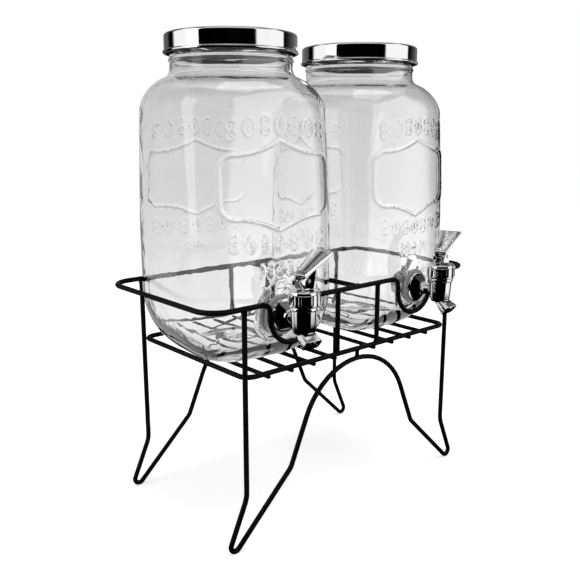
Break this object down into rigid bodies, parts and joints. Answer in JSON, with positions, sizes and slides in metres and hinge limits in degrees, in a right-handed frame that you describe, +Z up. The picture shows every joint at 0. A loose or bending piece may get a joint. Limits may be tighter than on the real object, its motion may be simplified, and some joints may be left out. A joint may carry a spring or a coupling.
{
  "type": "double beverage dispenser",
  "caption": "Pair of rounded-square glass jars with screw lids and lever taps, standing side by side on a bent wire stand.",
  "frame": {"origin": "on the floor, under the middle of the whole object's bounding box", "axes": "+Z is up; -Y is the front, where the taps are; +X is to the right seen from the front"},
  "size_m": [0.3282, 0.2044, 0.424],
  "materials": {
    "black_coat": "satin black powder coat on steel wire",
    "clear_glass": "clear moulded glass, smooth, with a faint waviness",
    "bright_chrome": "mirror-bright chrome plating",
    "dark_liner": "plain dark foamed sealing disc",
    "silicone": "translucent grey silicone washer",
    "dark_rubber": "dark grey rubber seal",
    "plain_steel": "plain bright steel"
  },
  "bodies": {
    "stand": {"top_rim": "black_coat", "tray_loop": "black_coat", "rim_divider": "black_coat", "tray_wire_1": "black_coat", "tray_wire_2": "black_coat", "tray_wire_3": "black_coat", "tray_wire_4": "black_coat", "tray_wire_5": "black_coat", "tray_wire_6": "black_coat", "tray_wire_7": "black_coat", "tray_wire_8": "black_coat", "front_leg_wire": "black_coat", "front_left_upright": "black_coat", "front_right_upright": "black_coat", "front_arch_stub": "black_coat", "rear_leg_wire": "black_coat", "rear_left_upright": "black_coat", "rear_right_upright": "black_coat", "rear_arch_stub": "black_coat"},
    "left_dispenser": {"left_jar": "clear_glass", "left_outer_gasket": "silicone", "left_inner_gasket": "silicone", "left_lock_nut": "plain_steel", "left_tap_body": "bright_chrome", "left_tap_collar": "bright_chrome", "left_bonnet_seal": "dark_rubber"},
    "left_liner": {"left_lid_liner": "dark_liner"},
    "left_lid": {"left_lid_shell": "bright_chrome"},
    "left_plug": {"left_valve_seal": "dark_rubber"},
    "left_stem": {"left_valve_stem": "plain_steel", "left_lever_pin": "plain_steel"},
    "left_handle_lever": {"left_lever": "bright_chrome"},
    "right_dispenser": {"right_jar": "clear_glass", "right_outer_gasket": "silicone", "right_inner_gasket": "silicone", "right_lock_nut": "plain_steel", "right_tap_body": "bright_chrome", "right_tap_collar": "bright_chrome", "right_bonnet_seal": "dark_rubber"},
    "right_liner": {"right_lid_liner": "dark_liner"},
    "right_lid": {"right_lid_shell": "bright_chrome"},
    "right_plug": {"right_valve_seal": "dark_rubber"},
    "right_stem": {"right_valve_stem": "plain_steel", "right_lever_pin": "plain_steel"},
    "right_handle_lever": {"right_lever": "bright_chrome"}
  },
  "joints": [
    {"name": "left_jar_lift", "type": "slide", "parent": "stand", "child": "left_dispenser", "axis": [0, 0, 1], "range_m": [0, 0.1]},
    {"name": "left_lid_lift", "type": "slide", "parent": "left_dispenser", "child": "left_liner", "axis": [0, 0, 1], "range_m": [0, 0.08]},
    {"name": "left_lid_turn", "type": "hinge", "parent": "left_liner", "child": "left_lid", "pos_m": [-0.0785, 0.02011, 0.4159], "axis": [0, 0, 1], "continuous": true},
    {"name": "left_stem_lift", "type": "slide", "parent": "left_dispenser", "child": "left_plug", "axis": [0, 0, 1], "range_m": [0, 0.003]},
    {"name": "left_lever_swivel", "type": "hinge", "parent": "left_plug", "child": "left_stem", "pos_m": [-0.08969, -0.0863, 0.2298], "axis": [0, 0, 1], "continuous": true},
    {"name": "left_lever_turn", "type": "hinge", "parent": "left_stem", "child": "left_handle_lever", "pos_m": [-0.08969, -0.0863, 0.2298], "axis": [0.1564, -0.9877, 0], "range_deg": [0, 85]},
    {"name": "right_jar_lift", "type": "slide", "parent": "stand", "child": "right_dispenser", "axis": [0, 0, 1], "range_m": [0, 0.1]},
    {"name": "right_lid_lift", "type": "slide", "parent": "right_dispenser", "child": "right_liner", "axis": [0, 0, 1], "range_m": [0, 0.08]},
    {"name": "right_lid_turn", "type": "hinge", "parent": "right_liner", "child": "right_lid", "pos_m": [0.0785, 0.02011, 0.4159], "axis": [0, 0, 1], "continuous": true},
    {"name": "right_stem_lift", "type": "slide", "parent": "right_dispenser", "child": "right_plug", "axis": [0, 0, 1], "range_m": [0, 0.003]},
    {"name": "right_lever_swivel", "type": "hinge", "parent": "right_plug", "child": "right_stem", "pos_m": [0.0841, -0.08674, 0.2298], "axis": [0, 0, 1], "continuous": true},
    {"name": "right_lever_turn", "type": "hinge", "parent": "right_stem", "child": "right_handle_lever", "pos_m": [0.0841, -0.08674, 0.2298], "axis": [0.309, -0.9511, 0], "range_deg": [0, 85]}
  ],
  "couplings": [
    {"joint": "left_stem_lift", "follows": "left_lever_turn", "m_per_rad": 0.002022},
    {"joint": "right_stem_lift", "follows": "right_lever_turn", "m_per_rad": 0.002022}
  ]
}
